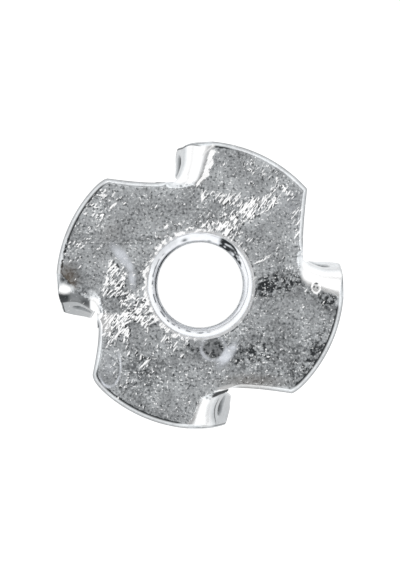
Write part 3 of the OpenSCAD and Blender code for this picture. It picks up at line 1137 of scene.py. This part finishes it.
# %% The marks, kept as attributes
marks = {
    "scuff": scuff,
    "tarnish_and_shade": tarnish_and_shade,
    "bloom_and_sheen": bloom_and_sheen,
    "warm": warm,
    "burnish": burnish,
    "bright": bright,
}
for name, values in marks.items():
    layer = mesh.attributes.new(name, "FLOAT", "POINT")
    layer.data.foreach_set("value", values.astype(np.float32))
    print(name, "up to", round(float(values.max()), 2))

# %% The piece in the frame
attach(nut, "root")
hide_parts("tee_nut")
print(nut.name, "stands for tee_nut")

# %% [markdown]
# ## Zinc plating
# The finish is bright electroplated zinc, tumbled in a barrel. It gives the eye three things: a
# cool grey that mirrors broad light softly, because the plate is a crust of tiny crystals; flecks
# and scratches that flash white, because there the crust is broken and bare; and blotches where it
# has gone dull. So the material is a metal with a grain, and the marks on the vertices say where it
# is stained, bloomed, scratched or rubbed, and where highlight, sheen or shade is painted on. The
# metal keeps the default IOR.
#
# Real crystals are a few hundredths of a millimetre wide, which would blur into one flat tone in a
# view of the whole nut, so the grain and the flecks are drawn five times as coarse.


# %% Colours and nodes
def hex_colour(text):
    """A six-digit sRGB hex colour as linear red, green, blue and alpha: c / 12.92 where it is
    dark, and ((c + 0.055) / 1.055) to the power 2.4 elsewhere."""
    c = np.array([int(text[i:i + 2], 16) for i in (1, 3, 5)]) / 255
    linear = np.where(c <= 0.04045, c / 12.92, ((c + 0.055) / 1.055) ** 2.4)
    return (*linear.tolist(), 1.0)


def add_node(tree, kind, inputs=None, output=0, **settings):
    """Adds a node with its settings, gives each input a value or a link, and returns an output."""
    node = tree.nodes.new(kind)
    for name, value in settings.items():
        setattr(node, name, value)
    for name, value in (inputs or {}).items():
        if isinstance(value, bpy.types.NodeSocket):
            tree.links.new(value, node.inputs[name])
        else:
            node.inputs[name].default_value = value
    return node.outputs[output]


NOISE = "ShaderNodeTexNoise"
RANGE = "ShaderNodeMapRange"    # inputs: value, from 1 and 2, to 3 and 4
MIX = "ShaderNodeMix"           # inputs: share, then 2 and 3 for numbers, or 6 and 7 for colours
MATH = "ShaderNodeMath"
SOFT = {"interpolation_type": "SMOOTHSTEP"}
COLOUR = {"data_type": "RGBA", "output": 2}
print("mid grey as linear:", round(hex_colour("#808080")[0], 3))

# %% The material, and the marks that it reads
zinc = bpy.data.materials.new("bright_zinc_plate_barrel_tumbled")
zinc.use_nodes = True
tree = zinc.node_tree
shader = tree.nodes["Principled BSDF"]
mesh.materials.append(zinc)
scuffed, tarnished_or_shaded, bloomed_or_sheened, warmed, burnished, painted_highlight_share = [
    add_node(tree, "ShaderNodeAttribute", output="Fac", attribute_name=name) for name in marks
]
print("material:", zinc.name)

# %% Patterns, each from its width in millimetres
PER_METRE = 1000
place = add_node(tree, "ShaderNodeTexCoord", output="Object")
PATTERNS = [  # width, detail and roughness
    (2.2, 4.0, 0.65),     # patches in which the crystals lie alike
    (0.7, 4.0, 0.72),     # clouds in the bloom
    (0.19, 1.5, 0.6),     # grain, really about 0.04 mm
    (0.15, 1.0, 0.6),     # bare flecks, really about 0.03 mm
    (0.32, 3.0, 0.7),     # mottled edges of the stains, really about 0.1 mm
]
patch, cloud, grain, speck, mottle = [
    add_node(tree, NOISE, {
        "Vector": place,
        "Scale": PER_METRE / width,
        "Detail": detail,
        "Roughness": uneven,
    })
    for width, detail, uneven in PATTERNS
]
print("pattern nodes:", len([n for n in tree.nodes if n.bl_idname == NOISE]))

# %% Grey of the plate: patches, with light and dark grains that burnishing takes away
tone = add_node(tree, RANGE, {0: patch, 1: 0.38, 2: 0.62, 3: 0.0, 4: 1.0}, **SOFT)
base = add_node(tree, MIX, {0: tone, 6: hex_colour("#c9cccf"), 7: hex_colour("#e2e6e9")}, **COLOUR)
lively = add_node(tree, RANGE, {0: burnished, 1: 0.0, 2: 0.8, 3: 1.0, 4: 0.2}, **SOFT)
light = add_node(tree, RANGE, {0: grain, 1: 0.48, 2: 0.72, 3: 0.0, 4: 1.0}, **SOFT)
light = add_node(tree, MATH, {0: light, 1: lively}, operation="MULTIPLY")
base = add_node(tree, MIX, {0: light, 6: base, 7: hex_colour("#f4f8fa")}, **COLOUR)
dark = add_node(tree, RANGE, {0: grain, 1: 0.47, 2: 0.29, 3: 0.0, 4: 0.9}, **SOFT)
dark = add_node(tree, MATH, {0: dark, 1: lively}, operation="MULTIPLY")
base = add_node(tree, MIX, {0: dark, 6: base, 7: hex_colour("#707476")}, **COLOUR)
print("nodes so far:", len(tree.nodes))

# %% Stains and painted light: tarnish and painted shade break up into mottles, bloom and painted sheen drift in clouds, and a warm tint lies on both
broken = add_node(tree, RANGE, {0: mottle, 1: 0.38, 2: 0.62, 3: 1.45, 4: 0.1}, **SOFT)
broken = add_node(tree, MIX, {0: burnished, 2: broken, 3: 0.8})
stain_or_shade = add_node(tree, MATH, {0: tarnished_or_shaded, 1: broken}, operation="MULTIPLY")
# tarnish and painted shade darken the base colour through the same mix
base = add_node(tree, MIX, {0: stain_or_shade, 6: base, 7: hex_colour("#3a3d3f")}, **COLOUR)
# bloom on the top face, and the painted pale sheen in the mouth and the top of the bore, pale the
# colour in clouds
mist = add_node(tree, RANGE, {0: cloud, 1: 0.35, 2: 0.65, 3: 0.5, 4: 1.0}, **SOFT)
haze_or_sheen = add_node(tree, MATH, {0: bloomed_or_sheened, 1: mist}, operation="MULTIPLY")
base = add_node(tree, MIX, {0: haze_or_sheen, 6: base, 7: hex_colour("#e4e8ef")}, **COLOUR)
tint = add_node(tree, MATH, {0: warmed, 1: 0.5}, operation="MULTIPLY")
base = add_node(tree, MIX, {0: tint, 6: base, 7: hex_colour("#8e8173")}, **COLOUR)
# painted highlight: where it is set, the base colour goes to near white
base = add_node(tree, MIX, {0: painted_highlight_share, 6: base, 7: hex_colour("#fafafa")}, **COLOUR)
print("nodes so far:", len(tree.nodes))

# %% Scratches: the strokes are torn along their run, and bare flecks lie between them
STREAK = (0.0008, 0.00009, 0.001)    # length and width of a tear, in metres
run = {"Vector": place, "Rotation": (0.0, 0.0, np.radians(52)), "Scale": STREAK}
along = add_node(tree, "ShaderNodeMapping", run, vector_type="TEXTURE")
streak = add_node(tree, NOISE, {"Vector": along, "Scale": 1.0, "Detail": 2.0, "Roughness": 0.6})
torn = add_node(tree, MATH, {0: streak, 1: 2.6, 2: -1.3}, operation="MULTIPLY_ADD")
torn = add_node(tree, MATH, {0: scuffed, 1: torn}, operation="ADD")
torn = add_node(tree, RANGE, {0: torn, 1: 0.4, 2: 0.75, 3: 0.0, 4: 1.0}, **SOFT)
often = add_node(tree, MATH, {0: patch, 1: 0.35, 2: speck}, operation="MULTIPLY_ADD")
fleck = add_node(tree, RANGE, {0: often, 1: 0.81, 2: 0.91, 3: 0.0, 4: 0.9}, **SOFT)
calm = add_node(tree, RANGE, {0: burnished, 1: 0.0, 2: 0.7, 3: 1.0, 4: 0.0}, **SOFT)
fleck = add_node(tree, MATH, {0: fleck, 1: calm}, operation="MULTIPLY")
scratched = add_node(tree, MATH, {0: torn, 1: fleck}, operation="MAXIMUM")
base = add_node(tree, MIX, {0: scratched, 6: base, 7: hex_colour("#ffffff")}, **COLOUR)
print("nodes so far:", len(tree.nodes))

# %% Gloss: bare scratches and haze scatter light as a powder does, and the grain has some height
GRAIN_HEIGHT = 0.000016    # metres
pale = add_node(tree, MATH, {0: haze_or_sheen, 1: 0.45}, operation="MULTIPLY")
pale = add_node(tree, MATH, {0: scratched, 1: pale}, operation="MAXIMUM")
metal = add_node(tree, RANGE, {0: pale, 1: 0.0, 2: 1.0, 3: 1.0, 4: 0.25})
rough = add_node(tree, RANGE, {0: patch, 1: 0.35, 2: 0.65, 3: 0.20, 4: 0.32}, **SOFT)
rough = add_node(tree, MATH, {0: scratched, 1: 0.2, 2: rough}, operation="MULTIPLY_ADD")
rough = add_node(tree, MATH, {0: stain_or_shade, 1: 0.25, 2: rough}, operation="MULTIPLY_ADD")
pitting = add_node(tree, RANGE, {0: burnished, 1: 0.0, 2: 0.9, 3: 1.0, 4: 0.06}, **SOFT)
pits = add_node(tree, MATH, {0: grain, 1: pitting}, operation="MULTIPLY")
bump = {"Height": pits, "Strength": 1.0, "Distance": GRAIN_HEIGHT}
bumps = add_node(tree, "ShaderNodeBump", bump, "Normal")
finish = {"Base Color": base, "Metallic": metal, "Roughness": rough, "Normal": bumps}
for socket, value in finish.items():
    tree.links.new(value, shader.inputs[socket])
print("nodes in all:", len(tree.nodes))

# %% [markdown]
# ## The floor
# The nut lies on a light table, a plate of cast white acrylic lit from behind, whose frosted face
# gives the eye an even white with no mirror image in it. A sheet that only receives light would
# show a grey disc through the bore, where the nut shades it, so the plate gives off its own light.
# It is far wider than the view.

# %% Light table
TABLE_HALF = 0.6    # metres
corners = [(-1, -1), (1, -1), (1, 1), (-1, 1)]
floor_mesh = bpy.data.meshes.new("floor")
floor_mesh.from_pydata([(TABLE_HALF * a, TABLE_HALF * b, 0) for a, b in corners], [], [(0, 1, 2, 3)])
floor = bpy.data.objects.new("light_table", floor_mesh)
bpy.context.scene.collection.objects.link(floor)
acrylic = bpy.data.materials.new("white_acrylic_light_table")
acrylic.use_nodes = True
plate = acrylic.node_tree.nodes["Principled BSDF"]
plate.inputs["Base Color"].default_value = hex_colour("#707070")
plate.inputs["Roughness"].default_value = 0.6
plate.inputs["Emission Color"].default_value = (1, 1, 1, 1)
plate.inputs["Emission Strength"].default_value = 0.97
floor_mesh.materials.append(acrylic)
print("light table:", 2 * TABLE_HALF, "m square")

# %% [markdown]
# ## The light
# A bright metal shows what is round it, so the light is a studio drawn in the sky: white walls,
# brighter higher up, and a darker patch overhead where a lens would be. The flat top face mirrors
# that patch and turns mid grey, while folds and edges look out at the walls and turn white. A lamp
# for each wall would do the same with more noise.

# %% Studio, by how high a direction points
SKY = [  # height of the direction from 0 to 1, and the light that comes from there
    (0.0, 0.8),
    (0.2, 0.9),
    (0.35, 1.25),
    (0.86, 1.35),
    (0.90, 0.8),
    (0.93, 0.26),
    (0.965, 0.26),
    (0.985, 0.49),
    (1.0, 0.49),
]
SKY_STRENGTH = 2.0
scene = bpy.context.scene
scene.view_settings.view_transform = "Standard"
world = bpy.data.worlds.new("studio")
scene.world = world
world.use_nodes = True
sky_tree = world.node_tree
direction = add_node(sky_tree, "ShaderNodeTexCoord", output="Generated")
upward = add_node(sky_tree, "ShaderNodeSeparateXYZ", {0: direction}, "Z")
shades = add_node(sky_tree, "ShaderNodeValToRGB", {0: upward}, "Color")
stops = shades.node.color_ramp.elements
while len(stops) < len(SKY):
    stops.new(0.5)
for stop, (at, level) in zip(stops, SKY):
    stop.position = at
    stop.color = (*[level / SKY_STRENGTH] * 3, 1)
backdrop = sky_tree.nodes["Background"]
sky_tree.links.new(shades, backdrop.inputs["Color"])
backdrop.inputs["Strength"].default_value = SKY_STRENGTH
print("sky stops:", len(stops))

# %% [markdown]
# ## The camera
# The nut is seen from straight above, from so far away that the barrel stays hidden behind the
# flange and only the outward lean of the prongs shows. The focal length follows from how much of
# the top face's plane the tall side of the view takes in.

# %% Camera over the bore
CAMERA_UP = 450        # mm above the floor
VIEW_TALL = 43.47      # mm of the top face's plane from the lower to the upper side of the view
SENSOR = 36
lens_mm = SENSOR * (CAMERA_UP - HEIGHT) / VIEW_TALL
cam = bpy.data.cameras.new("camera")
camera = bpy.data.objects.new("camera", cam)
scene.collection.objects.link(camera)
camera.location = (0, 0, CAMERA_UP * MM)
cam.lens = lens_mm
cam.sensor_width = SENSOR
cam.clip_start = 0.01
scene.camera = camera
print("focal length:", round(lens_mm, 1), "mm")
